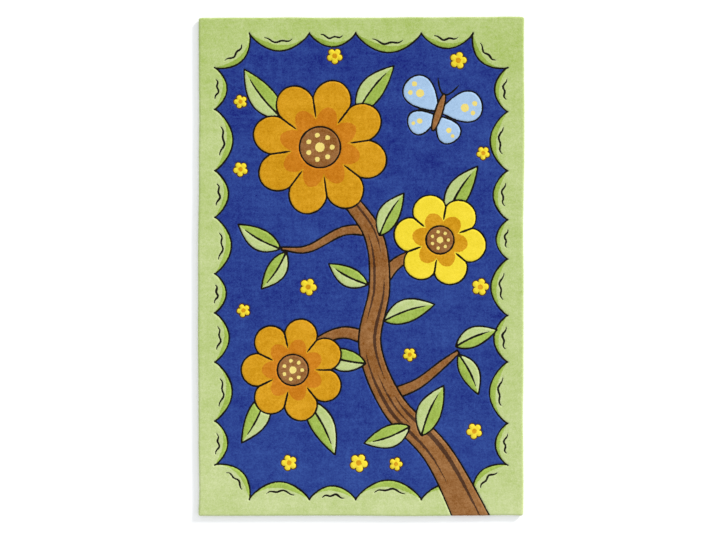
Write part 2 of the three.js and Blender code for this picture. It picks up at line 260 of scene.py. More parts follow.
# The first of each pair acts on all yarns alike, and the second in proportion to a yarn's contrast.
PAINTED_LENGTH_SHADE_SWING = 0.08, 0.34  # painted shade and light from the top end of the rug to the bottom one: darker at the top, lighter at the bottom
PAINTED_LIP_HIGHLIGHT_SWING = 0.05, 0.13  # painted highlight on the slanted sides of a carved valley, where they would catch the light
PAINTED_GAP_SHADE_SWING = 0.02, 0.18  # painted shade in the gaps between tufts, against their lighter ends
PAINTED_HIGHLIGHT_REACH = 1.0, 3.0  # where the painted highlight beside a line fades out: from the edge of the line to a little past its valley, in half widths of the line
MOST_VALUES = 0.3, 0.7  # between which most values of a noise lie
PAINTED_LENGTH_SHADE_PARTS = [  # where each part of the painted shade and light along the rug starts and stops, and its share of the swing above
    {"start": 0, "stop": 300, "darker": -0.35, "lighter": 0},
    {"start": 0, "stop": RUG_LENGTH, "darker": -0.175, "lighter": 0.175},
    {"start": 1275, "stop": RUG_LENGTH, "darker": 0, "lighter": 0.3},
]
LINE_RAGGED, LINE_WANDER = 5, 45  # the sizes of the small and the large unevenness of a line's edge
WANDER_SHARE = 0.9  # how strong the large one is beside the small one
LINE_WAVER = 0.8  # how strong both are, in half widths of the line
LINE_SOFTNESS = 0.15  # how far the two yarns mix at its edge, likewise

rng = np.random.default_rng(7)
rim_start = edge - edge_out * RIM_WIDTH
flat_edge = rim_start + edge_out * RIM_LENGTH
across = np.arange(-RUG_WIDTH / 2 - EDGE_BAND, RUG_WIDTH / 2 + EDGE_BAND, TUFT)
down = np.arange(-RUG_LENGTH / 2 - EDGE_BAND, RUG_LENGTH / 2 + EDGE_BAND, TUFT * math.sqrt(0.75))
tuft_x, tuft_y = np.meshgrid(across, down)
tuft_x[::2] += TUFT / 2  # every other row is shifted, so that each tuft has six at the same distance
tuft_places = np.stack([tuft_x.ravel(), tuft_y.ravel()], axis=1)
tuft_places += rng.uniform(-TUFT_SHIFT, TUFT_SHIFT, tuft_places.shape) * TUFT
tufted = []  # the outlines that are done


def box_of(*outlines):
    """The lowest and highest x and y in some outlines."""
    points = np.concatenate(outlines)
    return points.min(axis=0), points.max(axis=0)


def within(points, low, high):
    """Which points lie in a box."""
    return ((points > low) & (points < high)).all(axis=1)


def inside(points, outline):
    """Which points lie in a closed outline: those with an odd number of its sides on their right."""
    near = np.flatnonzero(within(points, *box_of(outline)))
    near = near[np.argsort(points[near, 1])]
    x, y = points[near].T
    odd = np.zeros(len(near), bool)
    ends = np.roll(outline, -1, axis=0)
    lowest = np.searchsorted(y, np.minimum(outline[:, 1], ends[:, 1]))
    highest = np.searchsorted(y, np.maximum(outline[:, 1], ends[:, 1]))
    for (x1, y1), (x2, y2), first, last in zip(outline, ends, lowest, highest):
        if first < last:
            odd[first:last] ^= x[first:last] < x1 + (x2 - x1) * (y[first:last] - y1) / (y2 - y1)
    hit = np.zeros(len(points), bool)
    hit[near] = odd
    return hit


def nearest(points, targets, far=99.0):
    """For each point, how far the nearest target is and which one."""
    if not len(targets):
        return np.full(len(points), far), np.zeros(len(points), int)
    tree = kdtree.KDTree(len(targets))
    for k, (x, y) in enumerate(targets):
        tree.insert((x, y, 0), k)
    tree.balance()
    found = [tree.find((x, y, 0)) for x, y in points]
    return np.array([f[2] for f in found]), np.array([f[1] for f in found], int)


def area(outline, yarn, kind="carved", strokes=()):
    """Part of a piece. A plain one has no carved outline, and a tone only recolours the one before it."""
    return {"outline": outline, "yarn": yarn, "kind": kind, "strokes": list(strokes)}


def lines_to_keep(areas, above, at_the_rim):
    """The lines that the faces of a piece keep to: their points, the pairs of points that are joined, and
    the outlines that are carved. The edge of a tone is ragged, and it stops at a carved outline."""
    outlines = [a["outline"] for a in areas if a["kind"] != "tone"] + [t["outline"] for t in above]
    if at_the_rim and areas[0]["kind"] != "plain":
        outlines.append(flat_edge)
    kept = [np.ones(len(outline), bool) for outline in outlines]
    carved = np.concatenate(outlines)
    for a in areas:
        if a["kind"] == "tone":
            a["outline"] = a["outline"] + rng.normal(0, TONE_RAGGED, a["outline"].shape)
            outlines.append(a["outline"])
            kept.append(nearest(a["outline"], carved)[0] > TUFT)
    points, joins = [], []
    for outline, keep in zip(outlines, kept):
        place = len(points) + np.cumsum(keep) - 1
        points += outline[keep].tolist()
        joins += [(place[k - 1], place[k]) for k in range(len(outline)) if keep[k - 1] and keep[k]]
    return np.array(points), joins, carved


def tufts_between(points, areas, above, at_the_rim, low, high):
    """The tufts of a piece, apart from those on its lines: the rug's own, and the rows that bend over."""
    fill = tuft_places[within(tuft_places, low, high)]
    fill = fill[np.any([inside(fill, a["outline"]) for a in areas if a["kind"] != "tone"], axis=0)]
    for t in above:
        fill = fill[~inside(fill, t["outline"])]
    if at_the_rim:
        fill = fill[inside(fill, rim_start)]
        rim = np.concatenate([rim_start + edge_out * RIM_LENGTH * k / RIM_ROWS for k in range(RIM_ROWS)])
        fill = np.concatenate([fill, rim[within(rim, low, high)]])
    return fill[nearest(fill, points)[0] > CROWDED * min(TUFT, RIM_LENGTH / RIM_ROWS)]


def laid_out(points, joins, areas, above, yarns):
    """A piece as it is before it is bent and carved: its points, its faces and the yarn of each face."""
    made = geometry.delaunay_2d_cdt([Vector(p) for p in points], joins, [], HULL, WELD)
    flat, faces = np.array([tuple(v) for v in made[0]]), np.array(made[2])
    centres = flat[faces].mean(axis=1)
    owner = np.full(len(faces), -1)
    yarn = np.zeros(len(faces), int)
    last = 0
    for k, a in enumerate(areas):
        hit = inside(centres, a["outline"])
        if a["kind"] == "tone":
            hit &= owner == last
        else:
            last = k
            owner[hit] = k
        yarn[hit] = yarns.index(a["yarn"])
    for t in above:
        owner[inside(centres, t["outline"])] = -1
    owner[~inside(centres, flat_edge)] = -1
    faces, yarn = faces[owner >= 0], yarn[owner >= 0]
    used, faces = np.unique(faces, return_inverse=True)
    return flat[used], faces.reshape(-1, 3), yarn


def stroke_width(curve, carved):
    """How wide a stroke is along its length, as a share of STROKE_WIDTH. It thins out at a free end."""
    free = nearest(curve[[0, -1]], carved)[0] > LINE_WIDTH
    along = np.linspace(0, 1, len(curve))
    at_start = (1 - along / STROKE_END).clip(0)
    at_end = ((along - 1 + STROKE_END) / STROKE_END).clip(0)
    return 1 - STROKE_TAPER * (free[0] * at_start + free[1] * at_end)


def line_distances(flat, areas, above, line, carved):
    """How far each point is from the nearest line of each kind, and half the width of its nearest stroke."""
    lines = {kind: [t["outline"] for t in above if t["line"] == kind] for kind in ("dark", "rust")}
    lines["stroke"] = []
    widths = []
    for k, a in enumerate(areas):
        covers = [later["outline"] for later in areas[k + 1:] if later["kind"] != "tone"]
        curves = [(line, a["outline"])] if a["kind"] == "carved" else []
        for kind, curve in curves + [("stroke", stroke) for stroke in a["strokes"]]:
            seen = np.ones(len(curve), bool)
            for cover in covers:
                seen &= ~inside(curve, cover)
            lines[kind].append(curve[seen])
            if kind == "stroke":
                widths.append(stroke_width(curve, carved)[seen])
    found = {kind: nearest(flat, np.concatenate(curves) if curves else []) for kind, curves in lines.items()}
    off = {kind: distance for kind, (distance, which) in found.items()}
    return off, STROKE_WIDTH / 2 * (np.concatenate(widths)[found["stroke"][1]] if widths else 1)


def valley(distance, width=1, depth=1):
    """How deep the carving is at a distance from its line. Width and depth are shares of a full valley's."""
    share = np.clip(1 - distance / (width * VALLEY_WIDTH / 2), 0, 1)
    return depth * VALLEY_DEPTH * share * share * (3 - 2 * share)


def over_the_rim(flat):
    """Bends the flat pile over the edge of the rug: gives its points in the round, and their normals."""
    solid = np.column_stack([flat, np.full(len(flat), float(PILE_TOP))])
    normal = np.zeros_like(solid)
    normal[:, 2] = 1
    level = np.array([RUG_WIDTH, RUG_LENGTH]) / 2 - EDGE_BAND
    close = np.flatnonzero((abs(flat) > level).any(axis=1))
    out = close[~inside(flat[close], rim_start)]
    which = nearest(flat[out], rim_start)[1]
    foot = rim_start[which]
    for step in (-1, 1):
        to = rim_start[(which + step) % len(rim_start)] - rim_start[which]
        share = np.clip(((flat[out] - rim_start[which]) * to).sum(axis=1) / (to * to).sum(axis=1), 0, 1)
        other = rim_start[which] + to * share[:, None]
        closer = np.linalg.norm(flat[out] - other, axis=1) < np.linalg.norm(flat[out] - foot, axis=1)
        foot = np.where(closer[:, None], other, foot)
    away = flat[out] - foot
    reach = np.linalg.norm(away, axis=1)
    away /= np.maximum(reach, 1e-6)[:, None]  # a point on the line itself doesn't move
    turn = np.clip(reach / RIM_LENGTH, 0, 1) * RIM_TURN
    solid[out, :2] = foot + away * (RIM_WIDTH * np.sin(turn))[:, None]
    solid[out, 2] = PILE_TOP - RIM_HEIGHT * (1 - np.cos(turn))
    normal[out, :2] = away * np.sin(turn)[:, None]
    normal[out, 2] = np.cos(turn)
    return solid, normal


def clipped(flat, off):
    """The surface that the shears leave: bent over the rim, a little uneven, and carved."""
    places, normals = over_the_rim(flat)
    upward = normals[:, 2].clip(0, 1)
    ragged = CLIPPING + (RIM_RAGGED - CLIPPING) * (1 - normals[:, 2]).clip(0, 1)
    beside = np.minimum(off["dark"], off["rust"]) / EVEN_BESIDE
    uneven = rng.normal(0, 1, len(flat)).clip(-2, 2) * np.clip(beside - 0.5, 0, 1) * ragged
    places += normals * uneven[:, None]
    stroke_depth = valley(off["stroke"], **STROKE_VALLEY)
    depth = np.maximum.reduce([valley(off["dark"]), valley(off["rust"]), stroke_depth])
    places[:, 2] -= depth * (places[:, 2] / PILE_TOP)
    swell = np.sin(flat[:, 0] / SWELL["across"] + 1) * np.sin(flat[:, 1] / SWELL["along"])
    places[:, 2] += SWELL["height"] * swell * upward
    return places


def pile_tone(tree, place, upright, tufts, fibres, off_line, contrast):
    """How much lighter or darker the pile is than its yarn: tuft by tuft, with painted shade in the gaps
    between tufts, in patches and streaks, with painted shade at the top end of the rug and painted light
    at its bottom end, and with a painted highlight beside a carved line."""
    # the swings of the painted shade and light along the rug, the painted highlight beside a line, and the
    # painted shade between tufts
    swings = (PAINTED_LENGTH_SHADE_SWING, PAINTED_LIP_HIGHLIGHT_SWING, PAINTED_GAP_SHADE_SWING)
    painted_length_shade_swing, painted_lip_highlight_swing, painted_gap_shade_swing = (every / contrast + more for every, more in swings)
    along = add(tree, "ShaderNodeSeparateXYZ", {"Vector": place}).outputs["Y"]
    top_end = RUG_LENGTH / 2
    steps = [  # a value, what it goes from and to, and how much lighter that makes the yarn
        (tufts.outputs["Color"], 0, 1, -TUFT_SWING / 2, TUFT_SWING / 2),
        # painted shade in the gaps between tufts
        (tufts.outputs["Distance"], *MOST_VALUES, painted_gap_shade_swing / 2, -painted_gap_shade_swing / 2),
        (fibres, *MOST_VALUES, -FIBRE_SWING / 2, FIBRE_SWING / 2),
        # painted highlight beside each carved line
        (off_line, *PAINTED_HIGHLIGHT_REACH, painted_lip_highlight_swing, 0),
    ]
    # painted shade at the top end of the rug and painted light at its bottom end
    for row in PAINTED_LENGTH_SHADE_PARTS:
        first, last = (top_end - row["start"]) * MM, (top_end - row["stop"]) * MM
        steps.append((along, first, last, painted_length_shade_swing * row["darker"], painted_length_shade_swing * row["lighter"]))
    for row in MOTTLING:
        wide, long = (size * MM for size in row["size"])
        scale = (1 / wide, 1 / long, 1 / long)
        stretched = add(tree, "ShaderNodeMapping", {"Vector": upright, "Scale": scale})
        noise = add(tree, "ShaderNodeTexNoise", {
            "Vector": stretched.outputs[0], "Scale": 1.0, "Detail": row["detail"], "Roughness": 0.7})
        steps.append((noise.outputs["Fac"], 0, 1, -row["swing"] / 2, row["swing"] / 2))
    tone = 0.0
    for value, first, last, darker, lighter in steps:
        step = add(tree, "ShaderNodeMapRange", {
            "Value": value, "From Min": first, "From Max": last, "To Min": darker, "To Max": lighter})
        tone = add(tree, "ShaderNodeMath", {0: tone, 1: step.outputs[0]}, operation="ADD").outputs[0]
    return tone


def lined(tree, place, colour, off):
    """The colour of the pile with the yarns of its outlines over it. Their edges waver as hand work does."""
    uneven = {}
    for size in (LINE_RAGGED, LINE_WANDER):
        noise = add(tree, "ShaderNodeTexNoise", {"Vector": place, "Scale": 1 / (size * MM), "Detail": 1.0})
        uneven[size] = noise.outputs["Fac"]
    unsure = add(tree, "ShaderNodeMath", {0: uneven[LINE_WANDER], 1: WANDER_SHARE, 2: uneven[LINE_RAGGED]},
                 operation="MULTIPLY_ADD").outputs[0]
    line_edge = 1 + LINE_WAVER * (WANDER_SHARE + 1) / 2
    for line, yarn in (("rust_line", RUST_YARN), ("dark_line", OUTLINE_YARN)):
        wavy = add(tree, "ShaderNodeMath", {0: unsure, 1: LINE_WAVER, 2: off[line]}, operation="MULTIPLY_ADD")
        clear = add(tree, "ShaderNodeMapRange", {
            "Value": wavy.outputs[0],
            "From Min": line_edge - LINE_SOFTNESS,
            "From Max": line_edge + LINE_SOFTNESS,
        }, interpolation_type="SMOOTHSTEP").outputs[0]
        mixed = add(tree, "ShaderNodeMix", {0: clear, 6: linear(yarn), 7: colour}, data_type="RGBA")
        colour = mixed.outputs[2]
    return colour


def pile_yarn(name):
    """Cut acrylic pile: matte and mottled, with a velvety sheen at a slant. Each tuft end takes light its
    own way, rows show as faint streaks, and the lay of the pile shows as broad patches. Painted shade
    darkens the gaps between tufts and the top end of the rug, and painted light brightens its bottom end
    and the slanted sides of each carved valley. Dark yarn shows all this more than light yarn."""
    if name in bpy.data.materials:
        return bpy.data.materials[name]
    yarn = YARNS[name]
    colour = np.array(linear(yarn["colour"])[:3])
    glint = np.array(linear(yarn["tips"])[:3]) - colour
    glint *= (colour @ LUMINANCE) / (glint @ LUMINANCE) * yarn["contrast"]
    material, tree = empty_material(name)
    place = add(tree, "ShaderNodeTexCoord").outputs["Object"]
    upright = add(tree, "ShaderNodeMapping", {"Vector": place, "Scale": (1, 1, STRAND)}).outputs[0]
    tufts = add(tree, "ShaderNodeTexVoronoi", {"Vector": upright, "Scale": 1 / (TUFT_END * MM)})
    fibres = add(tree, "ShaderNodeTexNoise", {
        "Vector": upright, "Scale": 1 / (FIBRE * MM), "Detail": 2.0}).outputs["Fac"]
    off = {}
    for line in ("dark_line", "rust_line"):
        off[line] = add(tree, "ShaderNodeAttribute", attribute_name=line).outputs["Fac"]
    tone = pile_tone(tree, place, upright, tufts, fibres, off["dark_line"], yarn["contrast"])
    shaded = add(tree, "ShaderNodeVectorMath", {0: tone, 1: glint, 2: colour},
                 operation="MULTIPLY_ADD").outputs[0]
    ends = add(tree, "ShaderNodeMath", {0: tufts.outputs["Distance"], 1: -1.0, 2: fibres},
               operation="MULTIPLY_ADD").outputs[0]
    bump = add(tree, "ShaderNodeBump", {"Height": ends, "Strength": 0.42, "Distance": 0.65 * MM}).outputs[0]
    cut_pile = add(tree, "ShaderNodeBsdfPrincipled", {
        "Base Color": lined(tree, place, shaded, off), "Roughness": 0.95, "Normal": bump,
        "Specular IOR Level": 0.12, "Sheen Weight": 0.1, "Sheen Roughness": 0.45})
    add(tree, "ShaderNodeOutputMaterial", {"Surface": cut_pile.outputs[0]})
    return material


def tuft(name, areas, line="dark"):
    """Makes one piece of pile from its areas, each of which covers the ones before it. Their outlines are
    tufted in the dark outline yarn or the rust one."""
    own = [a["outline"] for a in areas if a["kind"] != "tone"]
    low, high = box_of(*own)
    above = []
    for t in tufted:
        lowest, highest = box_of(t["outline"])
        if (lowest < high).all() and (highest > low).all():
            above.append(t)
    rim_low, rim_high = box_of(rim_start)
    at_the_rim = (high > rim_high).any() or (low < rim_low).any()
    points, joins, carved = lines_to_keep(areas, above, at_the_rim)
    fill = tufts_between(points, areas, above, at_the_rim, low, high)
    yarns = sorted({a["yarn"] for a in areas})
    flat, faces, yarn = laid_out(np.concatenate([points, fill]), joins, areas, above, yarns)
    off, stroke = line_distances(flat, areas, above, line, carved)
    places = clipped(flat, off)

    mesh = bpy.data.meshes.new(name)
    mesh.from_pydata((places * MM).tolist(), [], faces.tolist())
    for yarn_name in yarns:
        mesh.materials.append(pile_yarn(yarn_name))
    mesh.polygons.foreach_set("material_index", yarn)
    half_widths = {  # how far each point is from a line, in half widths of the line
        "dark_line": np.minimum(off["dark"] / (LINE_WIDTH / 2), off["stroke"] / stroke),
        "rust_line": off["rust"] / (RUST_WIDTH / 2),
    }
    for attribute, values in half_widths.items():
        mesh.attributes.new(attribute, "FLOAT", "POINT").data.foreach_set("value", values)
    spread = (flat - flat.min(axis=0)) / (flat.max(axis=0) - flat.min(axis=0))
    mesh.uv_layers.new(name="OFBake").data.foreach_set("uv", spread[faces.ravel()].ravel())
    mesh.shade_smooth()
    piece = bpy.data.objects.new(name, mesh)
    bpy.context.collection.objects.link(piece)
    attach(piece, "root")
    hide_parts("tufted_rug")
    tufted.extend({"outline": outline, "line": line} for outline in own)


# The little blossoms, 50 to 60 mm across, are five petals of yellow yarn round a dot of amber. They
# are tufted first, and outlined in a single row of rust yarn.
YARNS["yellow acrylic pile"] = {"colour": "#dac32e", "tips": "#f7e04c", "contrast": 0.14}
YARNS["amber acrylic pile"] = {"colour": "#be8811", "tips": "#e4ad31", "contrast": 0.4}
FINE_STEP = 2.4  # between the points of a small outline
LITTLE_PETALS = {"count": 5, "notch": 0.34, "power": 0.6}
LITTLE_DOT = 0.6  # its width, as a share of the blossom's radius
LITTLE_BLOSSOMS = [
    {"x": -400, "y": -150, "radius": 24, "turn": 5},
    {"x": -180, "y": -70, "radius": 30, "turn": 30},
    {"x": -410, "y": 560, "radius": 24, "turn": 0},
    {"x": -90, "y": 715, "radius": 28, "turn": 20},
    {"x": 330, "y": 700, "radius": 30, "turn": 40},
    {"x": 415, "y": 385, "radius": 24, "turn": 15},
    {"x": 405, "y": -70, "radius": 30, "turn": 40},
    {"x": 165, "y": -300, "radius": 24, "turn": 20},
    {"x": 385, "y": -560, "radius": 28, "turn": 10},
    {"x": 118, "y": -672, "radius": 24, "turn": 35},
    {"x": -8, "y": -668, "radius": 32, "turn": 25},
    {"x": -245, "y": -668, "radius": 28, "turn": 0},
    {"x": -410, "y": 330, "radius": 26, "turn": 12},
]


def placed(x, y, degrees):
    """A frame that is moved to x, y and turned: gives the place of a point u along it and v across it."""
    c, s = math.cos(math.radians(degrees)), math.sin(math.radians(degrees))
    return lambda u, v: (x + u * c - v * s, y + u * s + v * c)


def petals(x, y, radius, turn, count, notch, power, step=TUFT):
    """The outline of petals round a middle. The notches between them are cut in by a share of the radius,
    and the lower the power, the fuller the petals."""
    curves = []
    for k in range(count):
        place = placed(x, y, turn + 360 * k / count)

        def petal(t):
            reach = radius * (1 - notch + notch * np.sin(math.pi * t).clip(0) ** power)
            angle = 2 * math.pi * t / count
            return place(reach * np.cos(angle), reach * np.sin(angle))
        curves.append(drawn(petal, step))
    return joined(*curves)


def ring(x, y, wide, long, degrees=0, step=TUFT):
    """An oval, or a circle where it is as long as it is wide."""
    place = placed(x, y, degrees)

    def oval(t):
        return place(wide / 2 * np.cos(2 * math.pi * t), long / 2 * np.sin(2 * math.pi * t))
    return drawn(oval, step)[:-1]


def dot(x, y, size, yarn="pale yellow acrylic pile"):
    """A round dot of another yarn in the area before it."""
    return area(ring(x, y, size, size, step=FINE_STEP), yarn, "tone")


little = []
for row in LITTLE_BLOSSOMS:
    little.append(area(petals(**row, **LITTLE_PETALS, step=FINE_STEP), "yellow acrylic pile"))
    little.append(dot(row["x"], row["y"], LITTLE_DOT * row["radius"], "amber acrylic pile"))
tuft("little_blossoms", little, line="rust")

# The butterfly, about 250 mm from wing tip to wing tip, has wings of light blue yarn with pale yellow
# dots and a brown body. Its feelers are strokes of the outline yarn, tufted into the field later.
YARNS["light blue acrylic pile"] = {"colour": "#97b2ce", "tips": "#b3ceea", "contrast": 0.2}
YARNS["pale yellow acrylic pile"] = {"colour": "#d7c46d", "tips": "#f4e18b", "contrast": 0.14}
YARNS["brown acrylic pile"] = {"colour": "#85582d", "tips": "#9d7146", "contrast": 0.75}
BUTTERFLY = {"x": 262, "y": 520, "degrees": -18}
WINGS = [
    {"up": -8, "length": 105, "width": 88, "turn": 128, "dots": [(-44, 52, 9), (-58, 70, 6)]},
    {"up": 6, "length": 150, "width": 112, "turn": 62, "dots": [(46, 80, 14), (70, 108, 9), (38, 112, 8)]},
]
WING_FULLNESS, WING_TAPER = 0.625, 0.55  # the taper is a power, which narrows a wing at the body
BODY = {"up": 4, "length": 132, "width": 26}
FEELER = {"out": 4, "up": 68, "spread": 34, "rise": 46}  # where it starts, and how far it goes from there
FEELER_CURVE = {"spread": 0.8, "rise": 1.4}  # the powers that bend it
STROKE_STEP = 1.5  # between the points of a stroke
body_frame = placed(**BUTTERFLY)


def wing_outline(side, up, length, width, turn):
    """A wing, narrow at the body and broadest past its middle, on the left or the right side."""
    wing_frame = placed(0, up, 90 - side * turn)

    def wing_edge(t):
        out = (1 - np.cos(2 * math.pi * t)) / 2
        half = WING_FULLNESS * width * np.sin(2 * math.pi * t) * out ** WING_TAPER
        return body_frame(*wing_frame(length * out, half))
    return drawn(wing_edge)[:-1]


def feeler(side):
    """The stroke of a feeler, from the head outwards."""
    def stalk(t):
        out = FEELER["out"] + FEELER["spread"] * t ** FEELER_CURVE["spread"]
        return body_frame(side * out, FEELER["up"] + FEELER["rise"] * t ** FEELER_CURVE["rise"])
    return drawn(stalk, STROKE_STEP)


butterfly = []
for side in (1, -1):
    for wing in WINGS:
        shape = {key: value for key, value in wing.items() if key != "dots"}
        butterfly.append(area(wing_outline(side, **shape), "light blue acrylic pile"))
        for up, out, radius in wing["dots"]:
            butterfly.append(dot(*body_frame(side * out, up), 2 * radius))
body_outline = ring(*body_frame(0, BODY["up"]), BODY["width"], BODY["length"], BUTTERFLY["degrees"])
butterfly.append(area(body_outline, "brown acrylic pile"))
tuft("butterfly", butterfly)

# The three large blossoms, 320 to 460 mm across, are amber or yellow, with a darker yarn near the
# middle and a brown heart that carries a ring of pale dots. Short carved strokes part the petals.
YARNS["shaded amber acrylic pile"] = {"colour": "#b66f0f", "tips": "#d8912d", "contrast": 0.4}
BLOSSOMS = [
    {"name": "blossom_top", "x": -140, "y": 405, "radius": 232, "count": 8, "turn": 8,
     "petal": "amber acrylic pile", "shade": "shaded amber acrylic pile", "slot": "amber_pile"},
    {"name": "blossom_right", "x": 268, "y": 90, "radius": 158, "count": 6, "turn": 20,
     "petal": "yellow acrylic pile", "shade": "amber acrylic pile", "slot": "yellow_pile"},
    {"name": "blossom_left", "x": -232, "y": -352, "radius": 176, "count": 7, "turn": 0,
     "petal": "amber acrylic pile", "shade": "shaded amber acrylic pile", "slot": "amber_pile"},
]
PETALS = {"notch": 0.30, "power": 0.62}
SHADE = {"notch": 0.34, "power": 0.9}
NOTCH_LINE = {"start": 0.7, "length": 0.26}  # these and the next are shares of the blossom's radius
SHADE_RADIUS, HEART_RADIUS, DOTS_RADIUS = 0.6, 0.3, 0.18
MIDDLE_DOT, HEART_DOT = 0.14, 0.072
HEART_DOTS = 7
for row in BLOSSOMS:
    x, y, radius, count, turn = (row[key] for key in ("x", "y", "radius", "count", "turn"))
    notch_lines = []
    for k in range(count):
        place = placed(x, y, turn + 360 * k / count)
        notch_lines.append(drawn(
            lambda t: place(radius * (NOTCH_LINE["start"] - NOTCH_LINE["length"] * t), 0 * t), STROKE_STEP))
    blossom = [
        area(petals(x, y, radius, turn, count, **PETALS), row["petal"], strokes=notch_lines),
        area(petals(x, y, SHADE_RADIUS * radius, turn, count, **SHADE), row["shade"], "tone"),
        area(ring(x, y, 2 * HEART_RADIUS * radius, 2 * HEART_RADIUS * radius), "brown acrylic pile"),
        dot(x, y, MIDDLE_DOT * radius),
    ]
    for k in range(HEART_DOTS):
        at = placed(x, y, 360 * k / HEART_DOTS)(DOTS_RADIUS * radius, 0)
        blossom.append(dot(*at, HEART_DOT * radius))
    tuft(row["name"], blossom)

# The leaves, 150 to 215 mm long, are light green on one side of the midrib and leaf green on the
# other. The midrib is a carved stroke of the outline yarn, which thins out before the tip.
YARNS["light green acrylic pile"] = {"colour": "#a9b777", "tips": "#d0d4ab", "contrast": 0.24}
YARNS["leaf green acrylic pile"] = {"colour": "#8da345", "tips": "#a7be5f", "contrast": 0.4}
LEAVES = [
    {"x": 205, "y": -575, "length": 185, "width": 82, "turn": 66},
    {"x": 165, "y": -545, "length": 165, "width": 74, "turn": 200},
    {"x": 15, "y": -330, "length": 175, "width": 76, "turn": 165},
    {"x": 78, "y": -185, "length": 180, "width": 78, "turn": 18},
    {"x": 22, "y": -62, "length": 150, "width": 66, "turn": 152},
    {"x": 322, "y": -272, "length": 150, "width": 66, "turn": 22},
    {"x": 332, "y": -300, "length": 150, "width": 64, "turn": -64},
    {"x": -275, "y": 60, "length": 165, "width": 72, "turn": 150},
    {"x": -255, "y": 48, "length": 150, "width": 66, "turn": 236},
    {"x": 62, "y": 105, "length": 165, "width": 72, "turn": 60},
    {"x": 290, "y": 170, "length": 200, "width": 78, "turn": 58},
    {"x": -265, "y": 500, "length": 215, "width": 86, "turn": 128},
    {"x": -15, "y": 520, "length": 205, "width": 80, "turn": 52},
    {"x": -320, "y": -430, "length": 190, "width": 76, "turn": 243},
    {"x": -190, "y": -450, "length": 215, "width": 80, "turn": -62},
]
LEAF_BOW = 0.05  # how far the midrib bows out, as a share of its length
LEAF_LEAN, LEAF_FULLNESS = 0.85, 0.9  # powers: how near to its foot a leaf is widest, and how full it is
RIB_REACH = 0.82  # the share of the midrib that its stroke takes


def leaf(x, y, length, width, turn):
    """The two areas of a leaf: all of it, and its lower half."""
    place = placed(x, y, turn)

    def along_midrib(t):
        return t * length, LEAF_BOW * length * np.sin(math.pi * t)

    def side_of_leaf(t, side):
        u, v = along_midrib(t)
        swell = np.sin(math.pi * t ** LEAF_LEAN).clip(0) ** LEAF_FULLNESS
        return place(u, v + side * width / 2 * swell)
    upper = drawn(lambda t: side_of_leaf(t, 1))
    lower = drawn(lambda t: side_of_leaf(1 - t, -1))
    middle = drawn(lambda t: place(*along_midrib(t)))
    rib = drawn(lambda t: place(*along_midrib(RIB_REACH * t)), STROKE_STEP)
    return [
        area(joined(upper, lower), "light green acrylic pile", strokes=[rib]),
        area(joined(middle, lower), "leaf green acrylic pile", "tone"),
    ]


leaves = []
for row in LEAVES:
    leaves += leaf(**row)
tuft("leaves", leaves)

# The branch runs up from the bottom end in brown yarn, 128 mm wide at its foot and 40 mm at its tip,
# with four twigs and dark streaks of bark. It goes under the blossoms and the leaves.
YARNS["dark brown acrylic pile"] = {"colour": "#452a18", "tips": "#533826", "contrast": 0.75}
BRANCH = [  # x, y, width
    (425, -960, 128), (268, -650, 96), (108, -470, 84), (30, -270, 76),
    (62, -70, 70), (40, 110, 62), (-70, 270, 50), (-130, 420, 40),
]
TWIGS = [  # the same
    [(36, -250, 46), (-60, -225, 38), (-150, -260, 32), (-240, -330, 26)],
    [(62, -60, 46), (120, 10, 38), (200, 50, 32), (270, 90, 26)],
    [(90, -440, 40), (190, -400, 34), (280, -330, 26), (330, -290, 12)],
    [(40, 120, 36), (-60, 120, 30), (-180, 60, 24), (-270, 60, 10)],
]
STREAKS = [  # the shares of the branch's length where each starts and ends, and of its width to one side
    {"start": 0.03, "end": 0.30, "side": -0.25, "width": 15},
    {"start": 0.10, "end": 0.42, "side": 0.22, "width": 12},
    {"start": 0.34, "end": 0.60, "side": -0.22, "width": 11},
    {"start": 0.48, "end": 0.72, "side": 0.25, "width": 9},
    {"start": 0.66, "end": 0.90, "side": -0.15, "width": 8},
    {"start": 0.22, "end": 0.36, "side": -0.02, "width": 7},
]
STREAK_FULLNESS = 0.8
LOOK_AHEAD = 1e-3  # the share of a limb over which its direction is taken


def beside(rows, t, across):
    """A point beside the middle line of a limb, at a distance that across works out from its width."""
    x, y, width = through(rows, t)
    ahead = through(rows, np.minimum(t + LOOK_AHEAD, 1))
    behind = through(rows, np.maximum(t - LOOK_AHEAD, 0))
    way = (ahead - behind)[:2] / np.hypot(*(ahead - behind)[:2])
    reach = across(width)
    return x - way[1] * reach, y + way[0] * reach


def limb(rows):
    """The outline of the branch or a twig: up its left side, across the tip, down its right side and back."""
    left = drawn(lambda t: beside(rows, t, lambda width: width / 2))
    right = drawn(lambda t: beside(rows, 1 - t, lambda width: -width / 2))
    tip = drawn(lambda t: left[-1][:, None] * (1 - t) + right[0][:, None] * t)
    foot = drawn(lambda t: right[-1][:, None] * (1 - t) + left[0][:, None] * t)
    return joined(left, tip, right, foot)


def streak(start, end, side, width):
    """The outline of a streak, which is pointed at both ends."""
    def edge_of_streak(t, sign):
        half = sign * width / 2 * np.sin(math.pi * t).clip(0) ** STREAK_FULLNESS
        return beside(BRANCH, start + (end - start) * t, lambda limb_width: side * limb_width + half)
    return joined(drawn(lambda t: edge_of_streak(t, 1)), drawn(lambda t: edge_of_streak(1 - t, -1)))


branch = [area(limb(rows), "brown acrylic pile") for rows in TWIGS + [BRANCH]]
branch += [area(streak(**row), "dark brown acrylic pile", "tone") for row in STREAKS]
tuft("branch", branch)

